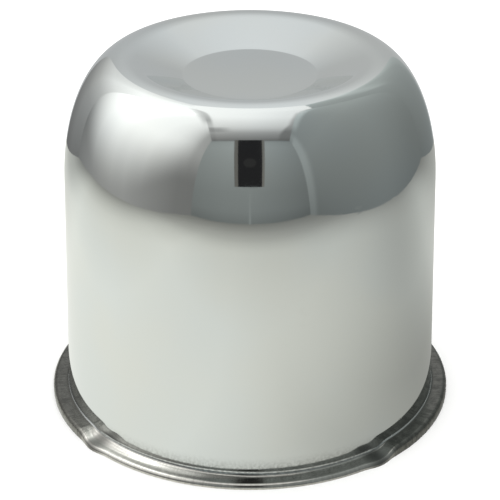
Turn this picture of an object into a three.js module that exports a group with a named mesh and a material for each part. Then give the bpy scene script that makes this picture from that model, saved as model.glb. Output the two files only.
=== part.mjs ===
// Push-through wheel centre cap for a trailer or caravan wheel: a one-piece, deep-drawn
// stainless steel cup. From the open end upwards it has a cut edge, a short flange that
// rolls down to that edge, a tight fillet, a slightly tapered wall, a long elliptical
// shoulder, a rounded crest and a shallow dish with a flat round floor. Four dimples
// pressed outwards in the flange grip the wheel's pilot bore, and between the dimples of
// each pair the flange is pressed down flatter. Millimetres, +Z up, with the origin on
// the cap's axis at the level of the cut edge.

import * as THREE from "three";
import { mergeVertices } from "three/addons/utils/BufferGeometryUtils.js";

// Driving dimensions.
const SHEET = 0.8;
const FOOT_DIAMETER = 107.95;
const WALL_DRAFT = THREE.MathUtils.degToRad(1.4);
const FLANGE_DIAMETER = 117.3;
const FLANGE_HEIGHT = 2.6;
const LIP_ROLL_RADIUS = 1.3;
const FILLET_RADIUS = 0.7;
const SHOULDER_START = 68.7;
const SHOULDER_EXPONENT = 2.06;
const CAP_HEIGHT = 103.4;
const CREST_DIAMETER = 69.0;
const CREST_ROUND = 9.0;
const DISH_SLOPE = THREE.MathUtils.degToRad(21.7);
const DISH_DEPTH = 5.6;
const CREASE_RADIUS = 0.6;

// Four dimples in two opposite pairs, as angles from +X about the axis.
const DIMPLE_ANGLES = [-139, -52, 41, 128].map(THREE.MathUtils.degToRad);
const DIMPLE_HEIGHT = 0.8;
const DIMPLE_LENGTH = 12.5;

// The two arcs over which the flange is pressed down, each from just outside one dimple
// of a pair to just outside the other. The fillet follows the flange down, up to a little
// above its own top.
const PRESS_DEPTH = 1.2;
const PRESS_CENTRES = [-95.5, 84.5].map(THREE.MathUtils.degToRad);
const PRESS_HALF_ARC = THREE.MathUtils.degToRad(48.5);
const PRESS_BLEND = THREE.MathUtils.degToRad(2.5);
const PRESS_TOP = FLANGE_HEIGHT + 1.4 * FILLET_RADIUS;

// The pressed flange slopes up to the fillet over this width, by this much. Along the
// arc the slope fades to a small part of itself, between two angles from the middle.
const PRESS_SLOPE_WIDTH = 2.6;
const PRESS_SLOPE_RISE = 0.7;
const PRESS_SLOPE_FADE = 0.85;
const PRESS_FADE_START = THREE.MathUtils.degToRad(-28);
const PRESS_FADE_END = THREE.MathUtils.degToRad(20);

// Facets round the axis, and stations along each stretch of the profile.
const SEGMENTS = 84;
const ROLL_STEPS = 3;
const FLAT_STEPS = 4;
const FILLET_STEPS = 2;
const SHOULDER_STEPS = 9;
const CREST_STEPS = 2;
const CREASE_STEPS = 1;

// A station is a point of the outer skin with the skin's outward normal, both in the
// half plane of radius and height.
function station(radius, height, normalAngle) {
  return {
    point: new THREE.Vector2(radius, height),
    normal: new THREE.Vector2(Math.cos(normalAngle), Math.sin(normalAngle)),
  };
}

// Stations on an arc, as the outward normal turns from one angle to another. The centre
// lies inside the sheet on a convex arc and outside it on a concave one.
function arc(centre, radius, from, to, steps, convex) {
  const side = convex ? 1 : -1;
  return Array.from({ length: steps + 1 }, (_, i) => {
    const angle = from + ((to - from) * i) / steps;
    return station(
      centre.x + side * radius * Math.cos(angle),
      centre.y + side * radius * Math.sin(angle),
      angle,
    );
  });
}

// The lip: from the cut edge up a short land, over the roll and in to the fillet, whose
// arc ends tangent to the tapered wall.
function flangeStations() {
  const flangeRadius = FLANGE_DIAMETER / 2;
  const rollCentre = new THREE.Vector2(
    flangeRadius - LIP_ROLL_RADIUS,
    FLANGE_HEIGHT - LIP_ROLL_RADIUS,
  );
  const filletCentre = new THREE.Vector2(
    FOOT_DIAMETER / 2 + FILLET_RADIUS * Math.tan(Math.PI / 4 - WALL_DRAFT / 2),
    FLANGE_HEIGHT + FILLET_RADIUS,
  );
  const flat = Array.from({ length: FLAT_STEPS - 1 }, (_, i) => {
    const share = (i + 1) / FLAT_STEPS;
    const radius = THREE.MathUtils.lerp(rollCentre.x, filletCentre.x, share);
    return station(radius, FLANGE_HEIGHT, Math.PI / 2);
  });
  return [
    station(flangeRadius, 0, 0),
    ...arc(rollCentre, LIP_ROLL_RADIUS, 0, Math.PI / 2, ROLL_STEPS, true),
    ...flat,
    ...arc(filletCentre, FILLET_RADIUS, Math.PI / 2, WALL_DRAFT, FILLET_STEPS, false),
  ];
}

// The wall's radius at a height, on the straight taper.
function wallRadius(height) {
  return FOOT_DIAMETER / 2 - (height - FLANGE_HEIGHT) * Math.tan(WALL_DRAFT);
}

// The shoulder: a quarter of a superellipse, sheared so that it leaves the wall along
// the wall's own taper and reaches the crest level.
function shoulderStations() {
  const rise = CAP_HEIGHT - SHOULDER_START;
  const reach = wallRadius(CAP_HEIGHT) - CREST_DIAMETER / 2;
  const power = 2 / SHOULDER_EXPONENT;
  const pointAt = (t) => {
    const height = SHOULDER_START + rise * Math.sin(t) ** power;
    const inset = reach * (1 - Math.cos(t) ** power);
    return new THREE.Vector2(wallRadius(height) - inset, height);
  };
  const stations = [station(wallRadius(SHOULDER_START), SHOULDER_START, WALL_DRAFT)];
  for (let i = 1; i < SHOULDER_STEPS; i++) {
    const t = ((Math.PI / 2) * i) / SHOULDER_STEPS;
    const along = pointAt(t + 1e-4).sub(pointAt(t - 1e-4));
    const point = pointAt(t);
    stations.push(station(point.x, point.y, Math.atan2(-along.x, along.y)));
  }
  return stations;
}

// The crest rolls over into the dish, whose straight slope runs down to the crease round
// the flat floor.
function dishStations() {
  const crestCentre = new THREE.Vector2(CREST_DIAMETER / 2, CAP_HEIGHT - CREST_ROUND);
  const floorHeight = CAP_HEIGHT - DISH_DEPTH;
  const level = Math.PI / 2;
  const tilted = level + DISH_SLOPE;
  const slopeTop = arc(crestCentre, CREST_ROUND, tilted, tilted, 1, true)[0].point;
  const floorRadius =
    slopeTop.x - (slopeTop.y - floorHeight) / Math.tan(DISH_SLOPE);
  const creaseCentre = new THREE.Vector2(
    floorRadius - CREASE_RADIUS * Math.tan(DISH_SLOPE / 2),
    floorHeight + CREASE_RADIUS,
  );
  return [
    ...arc(crestCentre, CREST_ROUND, level, tilted, CREST_STEPS, true),
    ...arc(creaseCentre, CREASE_RADIUS, tilted, level, CREASE_STEPS, false),
    station(0, floorHeight, level),
  ];
}

// The angle between two directions about the axis, from -PI to PI.
function turnBetween(angle, centre) {
  return Math.atan2(Math.sin(angle - centre), Math.cos(angle - centre));
}

// How far a dimple pushes the flange outwards, at an angle about the axis and a radius.
// It fades to nothing at both ends and at the fillet.
function dimplePush(angle, radius) {
  const fade = THREE.MathUtils.smoothstep(
    radius,
    FOOT_DIAMETER / 2 + FILLET_RADIUS,
    FLANGE_DIAMETER / 2 - LIP_ROLL_RADIUS,
  );
  return DIMPLE_ANGLES.reduce((push, centre) => {
    const share = (turnBetween(angle, centre) * FLANGE_DIAMETER) / DIMPLE_LENGTH;
    return Math.abs(share) < 1
      ? push + DIMPLE_HEIGHT * fade * Math.cos((share * Math.PI) / 2) ** 2
      : push;
  }, 0);
}

// The height to which a point of the flange or the fillet is pressed. The cut edge stays
// at its level, and the wall above the fillet is left as it is.
function pressedHeight(angle, radius, height) {
  const { smoothstep } = THREE.MathUtils;
  if (height >= PRESS_TOP) {
    return height;
  }
  const foot = FOOT_DIAMETER / 2;
  const slope = 1 - smoothstep(radius, foot, foot + PRESS_SLOPE_WIDTH);
  const share = Math.min(
    height / (FLANGE_HEIGHT - LIP_ROLL_RADIUS),
    1,
    (PRESS_TOP - height) / (PRESS_TOP - FLANGE_HEIGHT),
  );
  const drop = PRESS_CENTRES.reduce((sum, centre) => {
    const turn = turnBetween(angle, centre);
    const from = PRESS_HALF_ARC - PRESS_BLEND;
    const to = PRESS_HALF_ARC + PRESS_BLEND;
    const press = 1 - smoothstep(Math.abs(turn), from, to);
    const fade = PRESS_SLOPE_FADE * smoothstep(turn, PRESS_FADE_START, PRESS_FADE_END);
    return sum + press * (PRESS_DEPTH - PRESS_SLOPE_RISE * slope * (1 - fade));
  }, 0);
  return height - drop * share;
}

function pressFlange(geometry) {
  const position = geometry.getAttribute("position");
  for (let i = 0; i < position.count; i++) {
    const radius = Math.hypot(position.getX(i), position.getY(i));
    const angle = Math.atan2(position.getY(i), position.getX(i));
    if (radius > FOOT_DIAMETER / 2 + FILLET_RADIUS) {
      const scale = 1 + dimplePush(angle, radius) / radius;
      position.setX(i, position.getX(i) * scale);
      position.setY(i, position.getY(i) * scale);
    }
    position.setZ(i, pressedHeight(angle, radius, position.getZ(i)));
  }
}

// The sheet: the outer skin, and the same profile set in by the sheet's thickness,
// turned about the axis. The two skins meet at the cut edge.
function capShellGeometry() {
  const stations = [...flangeStations(), ...shoulderStations(), ...dishStations()];
  const outer = stations.map(({ point }) => point);
  const inner = stations.map(({ point, normal }) =>
    point.clone().addScaledVector(normal, -SHEET),
  );
  inner[inner.length - 1].x = 0;
  const profile = [...inner.reverse(), ...outer];
  const turned = new THREE.LatheGeometry(profile, SEGMENTS);
  turned.rotateX(Math.PI / 2);
  turned.deleteAttribute("normal");
  turned.deleteAttribute("uv");
  const geometry = mergeVertices(turned, 1e-4);
  pressFlange(geometry);
  geometry.computeVertexNormals();
  return geometry;
}

const polishedSteel = new THREE.MeshStandardMaterial({
  name: "polished_steel",
  color: 0xc9ccc8,
  roughness: 0.08,
  metalness: 1.0,
});

const capShell = new THREE.Mesh(capShellGeometry(), polishedSteel);
capShell.name = "cap_shell";

const wheelCentreCap = new THREE.Group();
wheelCentreCap.name = "wheel_centre_cap";
wheelCentreCap.add(capShell);

export default wheelCentreCap;
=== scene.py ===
# A push-through wheel centre cap: one deep-drawn, mirror-polished steel cup with a dull
# rolled flange, standing on a pale table inside a photographer's light tent.
import math

import bmesh
import bpy
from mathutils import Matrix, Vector


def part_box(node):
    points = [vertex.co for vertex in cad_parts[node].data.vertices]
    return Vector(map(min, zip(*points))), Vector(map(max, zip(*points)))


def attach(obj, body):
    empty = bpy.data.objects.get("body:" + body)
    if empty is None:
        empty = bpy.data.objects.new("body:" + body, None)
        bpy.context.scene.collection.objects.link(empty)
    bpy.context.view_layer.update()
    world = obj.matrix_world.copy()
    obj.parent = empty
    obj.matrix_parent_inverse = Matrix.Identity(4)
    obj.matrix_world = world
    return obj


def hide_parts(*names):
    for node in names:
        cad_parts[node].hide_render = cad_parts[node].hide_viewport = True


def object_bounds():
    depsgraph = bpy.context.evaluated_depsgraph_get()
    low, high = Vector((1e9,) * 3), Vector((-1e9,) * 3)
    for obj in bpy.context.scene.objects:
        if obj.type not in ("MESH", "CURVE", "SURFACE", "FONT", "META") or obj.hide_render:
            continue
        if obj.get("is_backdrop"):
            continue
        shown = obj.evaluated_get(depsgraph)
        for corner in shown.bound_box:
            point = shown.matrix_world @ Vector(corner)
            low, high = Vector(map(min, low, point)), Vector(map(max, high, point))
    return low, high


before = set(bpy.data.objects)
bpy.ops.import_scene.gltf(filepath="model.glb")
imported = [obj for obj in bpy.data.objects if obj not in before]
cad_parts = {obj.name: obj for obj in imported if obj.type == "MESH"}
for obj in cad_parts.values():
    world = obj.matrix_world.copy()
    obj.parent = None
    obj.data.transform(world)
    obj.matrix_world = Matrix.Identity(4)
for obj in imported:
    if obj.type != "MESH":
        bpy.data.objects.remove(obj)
cad_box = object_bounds()

# ---------------------------------------------------------------- camera
CAMERA_DISTANCE = 0.4575
CAMERA_HEIGHT = 0.2785
CAMERA_PITCH = math.radians(27.23)
LENS_MM = 127.9
SENSOR_MM = 36.0
NEAREST_SEEN = 0.01
FARTHEST_SEEN = 20.0


def make_camera():
    data = bpy.data.cameras.new("camera")
    data.lens = LENS_MM
    data.sensor_width = SENSOR_MM
    data.clip_start = NEAREST_SEEN
    data.clip_end = FARTHEST_SEEN
    camera = bpy.data.objects.new("camera", data)
    camera.location = (0.0, -CAMERA_DISTANCE, CAMERA_HEIGHT)
    camera.rotation_euler = (math.pi / 2 - CAMERA_PITCH, 0.0, 0.0)
    bpy.context.collection.objects.link(camera)
    bpy.context.scene.camera = camera


make_camera()

# ---------------------------------------------------------------- sizes of the cap
low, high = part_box("cap_shell")
FLANGE_RADIUS = (high.x - low.x) / 2
CAP_HEIGHT = high.z
SHEET = 0.0008
FOOT_RADIUS = 0.053975
WALL_DRAFT = math.radians(1.4)
FLANGE_HEIGHT = 0.0026
LIP_ROLL_RADIUS = 0.0013
FILLET_RADIUS = 0.0007
SHOULDER_START = 0.0687
SHOULDER_EXPONENT = 2.06
CREST_RADIUS = 0.0345
CREST_ROUND = 0.009
DISH_SLOPE = math.radians(21.7)
DISH_DEPTH = 0.0056
CREASE_RADIUS = 0.0006

DIMPLE_ANGLES = [math.radians(a) for a in (-139, -52, 41, 128)]
DIMPLE_HEIGHT = 0.0008
DIMPLE_LENGTH = 0.0125

# From one dimple of each pair to the other, and a little beyond, the flange is pressed
# down flatter.
PRESS_DEPTH = 0.0012
PRESS_CENTRES = [math.radians(a) for a in (-95.5, 84.5)]
PRESS_HALF_ARC = math.radians(48.5)
PRESS_BLEND = math.radians(2.5)
# The pressing fades out between the flange's flat and this height, above the fillet's top.
PRESS_TOP = FLANGE_HEIGHT + 1.4 * FILLET_RADIUS
# The pressed flange slopes up to the fillet over this width, by this much. Along the
# arc the slope fades to a small part of itself, between two angles from the middle.
PRESS_SLOPE_WIDTH = 0.0026
PRESS_SLOPE_RISE = 0.0007
PRESS_SLOPE_FADE = 0.85
PRESS_FADE_START = math.radians(-28)
PRESS_FADE_END = math.radians(20)

SEGMENTS = 360
ROLL_STEPS = 14
FLAT_STEPS = 10
FILLET_STEPS = 10
CREST_STEPS = 16
SLOPE_STEPS = 14
CREASE_STEPS = 5
FLOOR_STEPS = 8
SHARP_ANGLE = math.radians(50)
# Beyond this radius, part of the way across the fillet, the outside has the flange's steel.
FLANGE_STEEL_RADIUS = FOOT_RADIUS + FILLET_RADIUS * 0.3
LEVEL = math.pi / 2


# ---------------------------------------------------------------- the turned profile
def arc(centre, radius, start, end, steps, convex):
    """Stations (radius, height, normal angle) as the normal turns from start to end."""
    side = 1 if convex else -1
    angles = [start + (end - start) * i / steps for i in range(steps + 1)]
    return [
        (
            centre[0] + side * radius * math.cos(a),
            centre[1] + side * radius * math.sin(a),
            a,
        )
        for a in angles
    ]


def wall_radius(height):
    return FOOT_RADIUS - (height - FLANGE_HEIGHT) * math.tan(WALL_DRAFT)


def flange_stations():
    """The lip from the cut edge up over its roll, across the flat and up the fillet."""
    roll = (FLANGE_RADIUS - LIP_ROLL_RADIUS, FLANGE_HEIGHT - LIP_ROLL_RADIUS)
    reach = FILLET_RADIUS * math.tan(math.pi / 4 - WALL_DRAFT / 2)
    fillet = (FOOT_RADIUS + reach, FLANGE_HEIGHT + FILLET_RADIUS)
    flat = [
        (roll[0] + (fillet[0] - roll[0]) * i / FLAT_STEPS, FLANGE_HEIGHT, LEVEL)
        for i in range(1, FLAT_STEPS)
    ]
    return (
        [(FLANGE_RADIUS, 0.0, 0.0)]
        + arc(roll, LIP_ROLL_RADIUS, 0.0, LEVEL, ROLL_STEPS, True)
        + flat
        + arc(fillet, FILLET_RADIUS, LEVEL, WALL_DRAFT, FILLET_STEPS, False)
    )


def wall_stations(steps=40):
    foot = FLANGE_HEIGHT + FILLET_RADIUS
    rise = SHOULDER_START - foot
    heights = [foot + rise * i / steps for i in range(1, steps + 1)]
    return [(wall_radius(h), h, WALL_DRAFT) for h in heights]


def shoulder_stations(steps=70):
    """A quarter superellipse, sheared to leave the wall along the wall's own taper."""
    rise = CAP_HEIGHT - SHOULDER_START
    reach = wall_radius(CAP_HEIGHT) - CREST_RADIUS
    power = 2 / SHOULDER_EXPONENT

    def point(t):
        height = SHOULDER_START + rise * math.sin(t) ** power
        inset = reach * (1 - math.cos(t) ** power)
        return wall_radius(height) - inset, height

    stations = []
    for i in range(1, steps):
        t = LEVEL * i / steps
        before, after = point(t - 1e-4), point(t + 1e-4)
        normal = math.atan2(before[0] - after[0], after[1] - before[1])
        stations.append((*point(t), normal))
    return stations


def dish_stations():
    """Over the crest, down the slope, through the crease and in to the axis."""
    crest = (CREST_RADIUS, CAP_HEIGHT - CREST_ROUND)
    floor_height = CAP_HEIGHT - DISH_DEPTH
    tilted = LEVEL + DISH_SLOPE
    over = arc(crest, CREST_ROUND, LEVEL, tilted, CREST_STEPS, True)
    top_radius, top_height, _ = over[-1]
    floor_radius = top_radius - (top_height - floor_height) / math.tan(DISH_SLOPE)
    crease_centre = (
        floor_radius - CREASE_RADIUS * math.tan(DISH_SLOPE / 2),
        floor_height + CREASE_RADIUS,
    )
    crease = arc(crease_centre, CREASE_RADIUS, tilted, LEVEL, CREASE_STEPS, False)
    slope = [
        (
            top_radius + (crease[0][0] - top_radius) * i / SLOPE_STEPS,
            top_height + (crease[0][1] - top_height) * i / SLOPE_STEPS,
            tilted,
        )
        for i in range(1, SLOPE_STEPS)
    ]
    edge = crease[-1][0]
    floor = [
        (edge * (1 - i / FLOOR_STEPS), floor_height, LEVEL)
        for i in range(1, FLOOR_STEPS + 1)
    ]
    return over + slope + crease + floor


def skin_stations():
    return flange_stations() + wall_stations() + shoulder_stations() + dish_stations()


# ---------------------------------------------------------------- the shell's mesh
# The shell's material slots, in the order in which they are filled.
POLISHED, INSIDE, FLANGE = range(3)


def ease(low, high, value):
    """A smooth step from 0 at low to 1 at high, or down again where high is below low."""
    t = min(max((value - low) / (high - low), 0.0), 1.0)
    return t * t * (3 - 2 * t)


def dimple_push(angle, radius):
    """How far a dimple pushes the flange out, at an angle about the axis and a radius."""
    fade = ease(FOOT_RADIUS + FILLET_RADIUS, FLANGE_RADIUS - LIP_ROLL_RADIUS, radius)
    push = 0.0
    for centre in DIMPLE_ANGLES:
        turn = math.remainder(angle - centre, 2 * math.pi)
        share = turn * FLANGE_RADIUS * 2 / DIMPLE_LENGTH
        if abs(share) < 1:
            push += DIMPLE_HEIGHT * fade * math.cos(share * LEVEL) ** 2
    return push


def press_turns(angle):
    """Each pressed arc's share of an angle, with the turn from the arc's middle."""
    for centre in PRESS_CENTRES:
        turn = math.remainder(angle - centre, 2 * math.pi)
        start, end = PRESS_HALF_ARC - PRESS_BLEND, PRESS_HALF_ARC + PRESS_BLEND
        yield 1 - ease(start, end, abs(turn)), turn


def pressed_height(angle, radius, height):
    """The height to which the pressing takes a point of the flange or the fillet."""
    if height >= PRESS_TOP:
        return height
    roll_foot = FLANGE_HEIGHT - LIP_ROLL_RADIUS
    fade_out = (PRESS_TOP - height) / (PRESS_TOP - FLANGE_HEIGHT)
    slope = 1 - ease(FOOT_RADIUS, FOOT_RADIUS + PRESS_SLOPE_WIDTH, radius)
    share = min(height / roll_foot, 1.0, fade_out)
    drop = 0.0
    for press, turn in press_turns(angle):
        fade = PRESS_SLOPE_FADE * ease(PRESS_FADE_START, PRESS_FADE_END, turn)
        drop += press * (PRESS_DEPTH - PRESS_SLOPE_RISE * slope * (1 - fade))
    return height - drop * share


def mark_areas(data):
    """Store for the materials where the flange is pressed, and where its dimples are."""
    pressed = data.attributes.new("pressed", "FLOAT", "POINT").data
    dimple = data.attributes.new("dimple", "FLOAT", "POINT").data
    for i, vertex in enumerate(data.vertices):
        angle = math.atan2(vertex.co.y, vertex.co.x)
        pressed[i].value = sum(press for press, _ in press_turns(angle))
        dimple[i].value = dimple_push(angle, FLANGE_RADIUS) / DIMPLE_HEIGHT


def add_object(name, mesh):
    """Turns a bmesh into an object in the scene, and frees the bmesh."""
    data = bpy.data.meshes.new(name)
    mesh.to_mesh(data)
    mesh.free()
    made = bpy.data.objects.new(name, data)
    bpy.context.collection.objects.link(made)
    return made


def make_shell():
    stations = skin_stations()
    outer = [(r, z) for r, z, _ in stations]
    inner = [(r - SHEET * math.cos(a), z - SHEET * math.sin(a)) for r, z, a in stations]
    inner[-1] = (0.0, inner[-1][1])
    rings = [*reversed(outer), *inner]
    mesh = bmesh.new()
    columns = []
    for i in range(SEGMENTS):
        angle = 2 * math.pi * i / SEGMENTS
        column = []
        for radius, height in rings[1:-1]:
            if radius > FOOT_RADIUS + FILLET_RADIUS:
                radius += dimple_push(angle, radius)
            height = pressed_height(angle, radius, height)
            spot = (radius * math.cos(angle), radius * math.sin(angle), height)
            column.append(mesh.verts.new(spot))
        columns.append(column)
    top = mesh.verts.new((0.0, 0.0, rings[0][1]))
    under = mesh.verts.new((0.0, 0.0, rings[-1][1]))
    outside = len(outer) - 1
    for i, column in enumerate(columns):
        after = columns[(i + 1) % SEGMENTS]
        mesh.faces.new((top, column[0], after[0]))
        mesh.faces.new((under, after[-1], column[-1])).material_index = INSIDE
        for j in range(len(column) - 1):
            face = mesh.faces.new((column[j], column[j + 1], after[j + 1], after[j]))
            face.material_index = INSIDE
            if j < outside:
                on_flange = rings[j + 1][0] > FLANGE_STEEL_RADIUS
                face.material_index = FLANGE if on_flange else POLISHED
    shell = add_object("cap_shell_skin", mesh)
    for polygon in shell.data.polygons:
        polygon.use_smooth = True
    shell.data.set_sharp_from_angle(angle=SHARP_ANGLE)
    mark_areas(shell.data)
    return shell


# ---------------------------------------------------------------- materials
COOL_POLISH = (0.738, 0.766, 0.762, 1)
WARM_POLISH = (0.752, 0.767, 0.743, 1)
# The dark tone of the painted shade at the wall's foot.
FOOT_SHADE_AND_SPECKLE = (0.2, 0.195, 0.18, 1)
FLANGE_DULL = (0.232, 0.229, 0.208, 1)
# The lighter colour of the flange's pressed arcs is a painted highlight.
FLANGE_PAINTED_HIGHLIGHT = (0.63, 0.615, 0.575, 1)
# A dark colour for the flange's real grime, also used for its painted shade.
FLANGE_GRIME_AND_SHADE = (0.07, 0.07, 0.065, 1)
INSIDE_CLEAN = (0.54, 0.545, 0.53, 1)
INSIDE_STAIN = (0.43, 0.42, 0.385, 1)
DRAW_LINE = (0.3, 0.3, 0.29, 1)
TABLE_COLOUR = (0.94, 0.94, 0.93, 1.0)

# Bump depths, in metres.
WAVE_DEPTH = 0.00002
WHEEL_LINE_DEPTH = 0.0000012
FOOT_GRAIN_DEPTH = 0.00001
SCRATCH_DEPTH = 0.000002
FLANGE_DEPTH = 0.00006
DRAW_LINE_DEPTH = 0.00004
INSIDE_GRAIN_DEPTH = 0.00001


class Maker:
    """Builds one material's nodes. A value is a number, a colour or a socket."""

    def __init__(self, name):
        self.material = bpy.data.materials.new(name)
        self.material.use_nodes = True
        self.tree = self.material.node_tree
        self.shader = self.tree.nodes["Principled BSDF"]
        self.place = self.node("TexCoord").outputs["Object"]
        split = self.node("SeparateXYZ")
        self.feed(split.inputs[0], self.place)
        self.height = split.outputs["Z"]
        flat = self.node("CombineXYZ")
        self.feed(flat.inputs["X"], split.outputs["X"])
        self.feed(flat.inputs["Y"], split.outputs["Y"])
        length = self.node("VectorMath", operation="LENGTH")
        self.feed(length.inputs[0], flat.outputs[0])
        self.radius = length.outputs["Value"]
        unit = self.node("VectorMath", operation="NORMALIZE")
        self.feed(unit.inputs[0], flat.outputs[0])
        self.turn = unit.outputs["Vector"]

    def node(self, kind, **settings):
        made = self.tree.nodes.new("ShaderNode" + kind)
        for name, value in settings.items():
            setattr(made, name, value)
        return made

    def feed(self, socket, value):
        if isinstance(value, bpy.types.NodeSocket):
            self.tree.links.new(value, socket)
        else:
            socket.default_value = value

    def math(self, operation, *values):
        made = self.node("Math", operation=operation)
        for socket, value in zip(made.inputs, values):
            self.feed(socket, value)
        return made.outputs[0]

    def attribute(self, name):
        return self.node("Attribute", attribute_name=name).outputs["Fac"]

    def grade(self, value, start, end, first, last):
        """Takes start..end to first..last, eased at both ends."""
        made = self.node("MapRange", interpolation_type="SMOOTHSTEP")
        for name, item in (
            ("Value", value), ("From Min", start), ("From Max", end),
            ("To Min", first), ("To Max", last),
        ):
            self.feed(made.inputs[name], item)
        return made.outputs["Result"]

    def noise(self, where, scale, detail=3.0, roughness=0.5):
        made = self.node("TexNoise")
        self.feed(made.inputs["Vector"], where)
        self.feed(made.inputs["Scale"], scale)
        self.feed(made.inputs["Detail"], detail)
        self.feed(made.inputs["Roughness"], roughness)
        return made.outputs["Fac"]

    def lathe_place(self, round_scale, along_scale):
        """A place that runs round the axis and along the profile at two scales."""
        along = self.math("SUBTRACT", self.height, self.radius)
        lift = self.node("CombineXYZ")
        self.feed(lift.inputs["Z"], self.math("MULTIPLY", along, along_scale))
        made = self.node("VectorMath", operation="MULTIPLY_ADD")
        self.feed(made.inputs[0], self.turn)
        self.feed(made.inputs[1], (round_scale, round_scale, 0.0))
        self.feed(made.inputs[2], lift.outputs[0])
        return made.outputs["Vector"]

    def blend(self, share, first, second):
        made = self.node("Mix", data_type="RGBA")
        self.feed(made.inputs["Factor"], share)
        for socket, value in zip([i for i in made.inputs if i.type == "RGBA"], (first, second)):
            self.feed(socket, value)
        return next(o for o in made.outputs if o.type == "RGBA")

    def bump(self, height, distance, under=None):
        made = self.node("Bump")
        self.feed(made.inputs["Height"], height)
        self.feed(made.inputs["Distance"], distance)
        if under is not None:
            self.feed(made.inputs["Normal"], under)
        return made.outputs["Normal"]

    def finish(self, colour, roughness, normal):
        self.shader.inputs["Metallic"].default_value = 1.0
        self.feed(self.shader.inputs["Base Color"], colour)
        self.feed(self.shader.inputs["Roughness"], roughness)
        self.feed(self.shader.inputs["Normal"], normal)
        return self.material


def polished_steel():
    """Mirror polish: faint wheel lines round the axis, hairline scratches, slight waviness,
    and a rough, grainy foot with speckled painted shade where the flange is pressed flatter."""
    steel = Maker("polished_steel")
    stain = steel.noise(steel.place, 24.0, 2.0)
    colour = steel.blend(steel.grade(stain, 0.35, 0.65, 0.0, 1.0), COOL_POLISH, WARM_POLISH)
    wheel_lines = steel.noise(steel.lathe_place(1.5, 1900.0), 1.0, 2.0)
    wiping = steel.noise(steel.lathe_place(26.0, 40.0), 1.0, 3.0)
    hairlines = steel.noise(steel.lathe_place(9.0, 620.0), 1.0, 0.0)
    patches = steel.noise(steel.place, 60.0, 1.0)
    scratch = steel.math(
        "MULTIPLY",
        steel.grade(hairlines, 0.7, 0.78, 0.0, 1.0),
        steel.grade(patches, 0.52, 0.6, 0.0, 1.0),
    )
    speckle = steel.noise(steel.place, 1300.0, 3.0, 0.6)
    foot = steel.math(
        "MULTIPLY",
        steel.attribute("pressed"),
        steel.grade(steel.height, 0.0018, 0.0075, 1.0, 0.0),
    )
    dull_and_shade = steel.math("MULTIPLY", foot, steel.grade(speckle, 0.3, 0.7, 0.3, 1.0))
    # Painted shade darkens the wall's foot towards the flange, mottled by speckle marks.
    colour = steel.blend(steel.math("MULTIPLY", dull_and_shade, 0.6), colour, FOOT_SHADE_AND_SPECKLE)
    marked = steel.math(
        "ADD", steel.math("MULTIPLY", dull_and_shade, 0.12), steel.math("MULTIPLY", scratch, 0.08)
    )
    roughness = steel.math("ADD", steel.grade(wiping, 0.3, 0.7, 0.03, 0.06), marked)
    wave = steel.bump(steel.noise(steel.place, 45.0, 1.0), WAVE_DEPTH)
    lines = steel.bump(wheel_lines, WHEEL_LINE_DEPTH, wave)
    grain = steel.bump(steel.math("MULTIPLY", speckle, foot), FOOT_GRAIN_DEPTH, lines)
    return steel.finish(colour, roughness, steel.bump(scratch, SCRATCH_DEPTH, grain))


def flange_steel():
    """Dull, tool-marked and grimy at the sides, with painted shade by the fillet and on the
    dimples, and a painted highlight that makes it brighter where it is pressed.
    """
    steel = Maker("flange_steel")
    pressed = steel.attribute("pressed")
    # The pressed front and back arcs are painted lighter: a painted highlight.
    colour = steel.blend(pressed, FLANGE_DULL, FLANGE_PAINTED_HIGHLIGHT)
    pitting = steel.noise(steel.place, 620.0, 5.0, 0.65)
    tool_marks = steel.noise(steel.lathe_place(150.0, 70.0), 1.0, 4.0, 0.6)
    marks = steel.math("MULTIPLY", steel.math("ADD", pitting, tool_marks), 0.5)
    dirt = steel.math(
        "MULTIPLY",
        steel.grade(marks, 0.42, 0.6, 0.0, 0.6),
        steel.math("MULTIPLY_ADD", pressed, -0.7, 1.0),
    )
    # Painted shade in the corner by the fillet, on the unpressed sides.
    corner = steel.math(
        "MULTIPLY",
        steel.grade(steel.radius, 0.0543, 0.0554, 0.55, 0.0),
        steel.math("SUBTRACT", 1.0, pressed),
    )
    # Painted shade on the dimples, following their shape.
    dimple = steel.math("MULTIPLY", steel.attribute("dimple"), 0.75)
    # The real grime and the painted shade in the corner and on the dimples darken the flange towards
    # one dark colour.
    dark = steel.math("MAXIMUM", steel.math("MAXIMUM", dirt, corner), dimple)
    colour = steel.blend(dark, colour, FLANGE_GRIME_AND_SHADE)
    roughness = steel.math(
        "MULTIPLY",
        steel.grade(marks, 0.35, 0.65, 0.2, 0.34),
        steel.math("MULTIPLY_ADD", pressed, -0.4, 1.0),
    )
    relief = steel.math("MULTIPLY", marks, steel.math("MULTIPLY_ADD", pressed, -0.8, 1.0))
    return steel.finish(colour, roughness, steel.bump(relief, FLANGE_DEPTH))


def drawn_steel():
    """The inside as it left the press: satin, with draw lines and a thin film of stain."""
    steel = Maker("drawn_steel_inside")
    stain = steel.noise(steel.place, 32.0, 4.0, 0.6)
    draw_lines = steel.noise(steel.lathe_place(75.0, 9.0), 1.0, 4.0, 0.6)
    grain = steel.noise(steel.place, 900.0, 3.0, 0.6)
    colour = steel.blend(steel.grade(stain, 0.35, 0.7, 0.0, 1.0), INSIDE_CLEAN, INSIDE_STAIN)
    colour = steel.blend(steel.grade(draw_lines, 0.55, 0.75, 0.0, 0.35), colour, DRAW_LINE)
    roughness = steel.math(
        "ADD", steel.grade(draw_lines, 0.3, 0.7, 0.3, 0.4), steel.grade(grain, 0.3, 0.7, 0.0, 0.06)
    )
    drawn = steel.bump(draw_lines, DRAW_LINE_DEPTH)
    return steel.finish(colour, roughness, steel.bump(grain, INSIDE_GRAIN_DEPTH, drawn))


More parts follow.
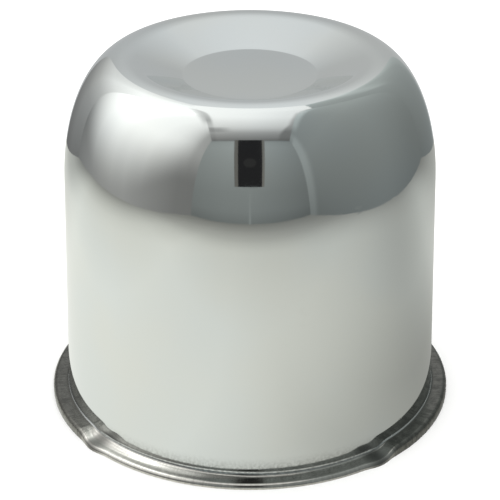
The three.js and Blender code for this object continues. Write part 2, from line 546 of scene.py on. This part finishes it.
# ---------------------------------------------------------------- the light tent
PANEL_STEPS = 60
LEFT_FRONT = [(-0.29, -0.45, 0.0), (-0.175, -0.326, 0.41)]
RIGHT_FRONT = [(0.30, -0.45, 0.0), (0.18, -0.326, 0.41)]
LEFT_MIDDLE = [(-0.371, -0.03, 0.0), (-0.17, 0.0, 0.62)]
RIGHT_MIDDLE = [(0.307, -0.10, 0.0), (0.17, 0.0, 0.62)]
LEFT_BACK = [(-0.30, 0.175, 0.0), (-0.175, 0.132, 0.576)]
RIGHT_BACK = [(0.30, 0.175, 0.0), (0.175, 0.132, 0.576)]
BACK_LEFT = [(-0.11, 0.188, 0.0), (-0.081, 0.156, 0.402)]
BACK_RIGHT = [(0.11, 0.188, 0.0), (0.081, 0.156, 0.402)]
COOL = (0.945, 1.03, 1.025)
CLEAR = (1.0, 1.01, 1.0)
WARM = (1.01, 1.025, 0.965)
BACK_TINT = (0.985, 1.01, 1.02)
SLOT_TINT = (0.98, 0.98, 1.04)
STRIP_TINT = (1.02, 1.0, 0.93)
# The mirrored table lies just under the floor that the camera sees: a glowing card with the table's
# light and shade painted into its glow.
TABLE_CORNERS = [(x, y, -0.0006) for y in (-0.46, 0.2) for x in (-0.38, 0.32)]
# The slot that the camera looks through has its foot and its head at these y and z.
SLOT_FOOT = (-0.402, 0.141)
SLOT_HEAD = (-0.32, 0.411)
LENS_CENTRE = (-0.0005, -0.366, 0.246)
LENS_RADIUS = 0.025
LENS_GLOW = 0.031


def along(points, share):
    """A point on the line through two points, or on the parabola through three."""
    if len(points) == 2:
        return Vector(points[0]).lerp(Vector(points[1]), share)
    first, middle, last = map(Vector, points)
    return (
        first * (1 - share) * (1 - 2 * share)
        + middle * 4 * share * (1 - share)
        + last * share * (2 * share - 1)
    )


def ramp(share, *stops):
    """Straight lines between (share, value) stops."""
    if share <= stops[0][0]:
        return stops[0][1]
    for (a, low_value), (b, high_value) in zip(stops, stops[1:]):
        if share <= b:
            return low_value + (high_value - low_value) * (share - a) / (b - a)
    return stops[-1][1]


def glowing_material():
    material = bpy.data.materials.new("tent_glow")
    material.use_nodes = True
    nodes, links = material.node_tree.nodes, material.node_tree.links
    nodes.clear()
    glow = nodes.new("ShaderNodeAttribute")
    glow.attribute_name = "glow"
    emission = nodes.new("ShaderNodeEmission")
    output = nodes.new("ShaderNodeOutputMaterial")
    links.new(glow.outputs["Color"], emission.inputs["Color"])
    links.new(emission.outputs["Emission"], output.inputs["Surface"])
    return material


def reflection_only(card):
    """A stage object that only mirror reflections see."""
    card.visible_camera = False
    card.visible_diffuse = False
    card.visible_shadow = False
    card.visible_transmission = False
    card.visible_volume_scatter = False
    card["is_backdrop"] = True


def light_up(card, colours):
    """Gives a card the glowing material, with one colour for each of its vertices."""
    glow = card.data.attributes.new("glow", "FLOAT_COLOR", "POINT")
    for item, colour in zip(glow.data, colours):
        item.color = (*colour, 1.0)
    card.data.materials.append(GLOW)
    reflection_only(card)


def panel(name, foot, head, tint, brightness):
    """A ruled sheet between two edges, whose glow is tint times brightness(u, v)."""
    mesh = bmesh.new()
    grid = []
    values = []
    for j in range(PANEL_STEPS + 1):
        v = j / PANEL_STEPS
        row = []
        for i in range(PANEL_STEPS + 1):
            u = i / PANEL_STEPS
            row.append(mesh.verts.new(along(foot, u).lerp(along(head, u), v)))
            values.append(brightness(u, v))
        grid.append(row)
    for lower, upper in zip(grid, grid[1:]):
        for i in range(PANEL_STEPS):
            mesh.faces.new((lower[i], lower[i + 1], upper[i + 1], upper[i]))
    light_up(add_object(name, mesh), [[value * t for t in tint] for value in values])


def left_glow(u, v):
    """The lit side: grey at its foot and front, and burnt out higher up."""
    edge = ramp(
        u, (0.0, 0.56), (0.12, 0.5), (0.2, 0.41), (0.3, 0.31), (0.4, 0.255), (0.5, 0.23),
        (0.7, 0.245), (1.0, 0.37),
    )
    foot = ramp(u, (0.0, 0.2), (0.1, 0.21), (0.4, 0.36), (0.6, 0.34), (1.0, 0.22))
    head = ramp(
        u, (0.0, 0.4), (0.06, 0.44), (0.11, 0.7), (0.16, 0.9), (0.21, 1.05), (0.3, 1.2),
        (0.46, 1.31), (0.55, 1.45), (1.0, 1.5),
    )
    rise = ease(edge - 0.24, edge + 0.2, v)
    burn = ease(edge + 0.12, edge + 0.4, v) * ease(0.42, 0.66, u) * 1.6
    burn *= 1 - ease(0.86, 0.94, v)
    seam = ramp(u, (0.18, 0.0), (0.3, 0.4), (0.5, 0.45), (0.7, 0.38), (0.85, 0.15), (1.0, 0.05))
    return (foot + (head - foot) * rise + burn) * (1 - seam * ease(0.9, 0.99, v))


def right_glow(u, v):
    """The dark side: a flat grey, with light from the roof along its top."""
    glow = ramp(v, (0.0, 0.21), (0.2, 0.255), (0.4, 0.3), (0.6, 0.345), (0.9, 0.36)) * ramp(
        u, (0.0, 1.02), (0.05, 1.02), (0.09, 0.78), (0.35, 0.9), (0.6, 1.02), (1.0, 1.06)
    )
    lift = ramp(u, (0.0, -0.28), (0.1, 0.0), (0.2, 0.5), (0.5, 0.72), (0.7, 0.66), (0.9, 0.1))
    tilt = ease(0.5, 0.9, u) * (0.3 * ease(0.1, 0.6, v) - 0.17)
    return glow * (1 + lift * ease(0.88, 0.96, v)) * (1 + tilt)


def front_glow(u, v):
    return ramp(
        v, (0.0, 0.18), (0.12, 0.23), (0.3, 0.25), (0.6, 0.315), (0.85, 0.37), (0.96, 0.36),
        (1.0, 0.28),
    ) * ramp(u, (0.0, 0.9), (0.3, 1.04), (0.5, 1.06), (0.65, 0.96), (1.0, 0.72))


def roof_glow(u, v):
    """Dark over the front, bright over the cap, with a dark seam along each side."""
    glow = ramp(
        u, (0.0, 0.19), (0.035, 0.3), (0.06, 0.36), (0.09, 0.46), (0.115, 0.6), (0.14, 0.72),
        (0.16, 0.78), (0.19, 0.85), (0.24, 0.93), (0.3, 1.01), (0.38, 1.1), (0.46, 1.15),
        (1.0, 1.2),
    ) * ramp(v, (0.0, 1.05), (0.14, 1.04), (0.5, 0.98), (0.86, 0.86), (1.0, 0.83))
    left_seam = ramp(u, (0.12, 0.1), (0.25, 0.4), (0.3, 0.52), (0.5, 0.43), (0.8, 0.32), (1.0, 0.2))
    right_seam = ramp(u, (0.0, 0.1), (0.1, 0.5), (0.2, 0.45), (0.5, 0.36), (1.0, 0.2))
    right_edge = ramp(u, (0.05, 0.82), (0.12, 0.86), (0.2, 0.92), (0.4, 0.94))
    left_corner = 0.36 * ease(0.08, 0.11, u) * ease(0.17, 0.14, u) * ease(0.32, 0.12, v)
    glow *= 1 - left_seam * (1 - ease(0.05, 0.09, v)) - left_corner
    return glow * (1 - right_seam * ease(right_edge, right_edge + 0.06, v))


def table_glow(u, v):
    """The table as the cap mirrors it: painted light fading towards the tent's sides and front,
    the cap's own painted soft shadow to its right, and painted light and shade behind it.
    """
    across = ramp(
        u, (0.0, 0.08), (0.12, 0.45), (0.22, 0.78), (0.35, 1.02), (0.5, 0.98),
        (0.65, 0.8), (0.8, 0.58), (1.0, 0.18),
    )
    along_room = ramp(
        v, (0.02, 0.0), (0.15, 0.16), (0.28, 0.4), (0.38, 0.72), (0.48, 0.92), (0.65, 1.04),
        (0.8, 1.06), (0.9, 0.98),
    )
    spread = math.exp(-(((v - 0.7) / 0.125) ** 2))
    shadow = spread * ramp(
        u, (0.5, 0.0), (0.54, 0.2), (0.59, 0.6), (0.65, 0.54), (0.72, 0.34), (0.9, 0.2)
    )
    behind = ease(0.8, 0.94, v) * ramp(
        u, (0.3, 0.36), (0.4, 0.2), (0.45, -0.15), (0.52, -0.15), (0.6, 0.28), (0.68, 0.38), (0.9, 0.35)
    )
    return (0.22 + 0.66 * across * along_room) * (1 - shadow) * (1 - behind)


def back_left_glow(u, v):
    glow = ramp(v, (0.0, 0.2), (0.1, 0.27), (0.2, 0.37), (0.3, 0.56), (0.45, 1.0), (0.65, 1.35))
    return glow * ramp(u, (0.0, 1.0), (0.55, 0.97), (0.75, 0.85), (1.0, 0.76))


def back_right_glow(u, v):
    glow = ramp(v, (0.0, 0.2), (0.2, 0.275), (0.5, 0.39), (1.0, 0.43))
    band = math.exp(-(((v - 0.74 + 0.38 * u) / 0.09) ** 2)) * (1 - ease(0.5, 0.66, u))
    return glow * (1 + 0.3 * band) * ramp(u, (0.0, 1.45), (0.15, 1.12), (0.4, 1.0), (1.0, 0.88))


def back_glow(u, v):
    return ramp(
        v, (0, 0.7), (0.1, 0.54), (0.3, 0.52), (0.4, 0.545), (0.45, 0.59), (0.55, 0.69),
        (0.65, 0.79), (0.8, 0.84), (1, 0.88),
    ) * ramp(u, (0, 0.95), (0.2, 1.0), (1, 0.97))


def roof_back_glow(u, v):
    return ramp(u, (0, 1.25), (0.5, 1.17), (1, 1.02))


def even_glow(value):
    return lambda u, v: value


def slot_panel(name, foot_edges, head_edges, tint, glow):
    """An upright strip of the slot, between two edges given by their x."""
    foot = [(x, *SLOT_FOOT) for x in foot_edges]
    head = [(x, *SLOT_HEAD) for x in head_edges]
    panel(name, foot, head, tint, even_glow(glow))


def make_lens():
    """The round front of the camera's lens, seen in the slot that it looks through: a dim
    glowing disc whose faint light is painted on.
    """
    mesh = bmesh.new()
    bmesh.ops.create_circle(mesh, cap_ends=True, segments=32, radius=LENS_RADIUS)
    lens = add_object("tent_lens", mesh)
    lens.location = LENS_CENTRE
    lens.rotation_euler = (math.pi / 2 - CAMERA_PITCH, 0.0, 0.0)
    light_up(lens, [[LENS_GLOW] * 3 for _ in lens.data.vertices])


def make_tent():
    left = [LEFT_FRONT, LEFT_MIDDLE, LEFT_BACK]
    right = [RIGHT_FRONT, RIGHT_MIDDLE, RIGHT_BACK]

    def foot(*edges):
        return [edge[0] for edge in edges]

    def head(*edges):
        return [edge[1] for edge in edges]

    panel("tent_left", foot(*left), head(*left), CLEAR, left_glow)
    panel("tent_right", foot(*right), head(*right), COOL, right_glow)
    panel(
        "tent_front", foot(LEFT_FRONT, RIGHT_FRONT), head(LEFT_FRONT, RIGHT_FRONT), COOL,
        front_glow,
    )
    panel(
        "tent_back_left", foot(LEFT_BACK, BACK_LEFT), head(LEFT_BACK, BACK_LEFT), CLEAR,
        back_left_glow,
    )
    panel(
        "tent_back_right", foot(BACK_RIGHT, RIGHT_BACK), head(BACK_RIGHT, RIGHT_BACK), COOL,
        back_right_glow,
    )
    panel(
        "tent_back", foot(BACK_LEFT, BACK_RIGHT), head(BACK_LEFT, BACK_RIGHT), BACK_TINT,
        back_glow,
    )
    panel(
        "tent_roof_back", head(BACK_LEFT, BACK_RIGHT), head(LEFT_BACK, RIGHT_BACK), CLEAR,
        roof_back_glow,
    )
    panel("tent_roof", head(*left), head(*right), CLEAR, roof_glow)
    panel("tent_table", TABLE_CORNERS[:2], TABLE_CORNERS[2:], WARM, table_glow)
    slot_panel("tent_slot", (-0.0465, 0.047), (-0.050, 0.051), SLOT_TINT, 0.02)
    slot_panel("tent_slot_left", (-0.0605, -0.046), (-0.066, -0.0495), STRIP_TINT, 0.145)
    slot_panel("tent_slot_right", (0.047, 0.0565), (0.050, 0.0615), STRIP_TINT, 0.18)
    panel(
        "tent_seam",
        [(-0.004, -0.448, 0.0), (0.004, -0.448, 0.0)],
        [(-0.004, -0.405, 0.139), (0.004, -0.405, 0.139)],
        COOL,
        even_glow(0.275),
    )
    make_lens()


# ---------------------------------------------------------------- floor and light
FLOOR_HALF_WIDTH = 4.0
WORLD_STRENGTH = 1.5


def make_floor():
    mesh = bmesh.new()
    bmesh.ops.create_grid(mesh, x_segments=1, y_segments=1, size=FLOOR_HALF_WIDTH)
    floor = add_object("floor", mesh)
    material = bpy.data.materials.new("pale_table")
    material.use_nodes = True
    shader = material.node_tree.nodes["Principled BSDF"]
    shader.inputs["Base Color"].default_value = TABLE_COLOUR
    shader.inputs["Roughness"].default_value = 0.9
    shader.inputs["Specular IOR Level"].default_value = 0.0
    floor.data.materials.append(material)
    floor.visible_glossy = False
    floor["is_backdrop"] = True


def make_light():
    world = bpy.data.worlds.new("studio")
    world.use_nodes = True
    background = world.node_tree.nodes["Background"]
    background.inputs["Color"].default_value = (1.0, 1.0, 1.0, 1.0)
    background.inputs["Strength"].default_value = WORLD_STRENGTH
    bpy.context.scene.world = world
    bpy.context.scene.view_settings.view_transform = "Standard"


GLOW = glowing_material()
make_tent()
make_floor()
make_light()

shell = make_shell()
for finish in (polished_steel, drawn_steel, flange_steel):
    shell.data.materials.append(finish())
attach(shell, "root")
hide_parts("cap_shell")

boxes = {"cad": cad_box, "visual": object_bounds()}
{k: [list(corner) for corner in box] for k, box in boxes.items()}
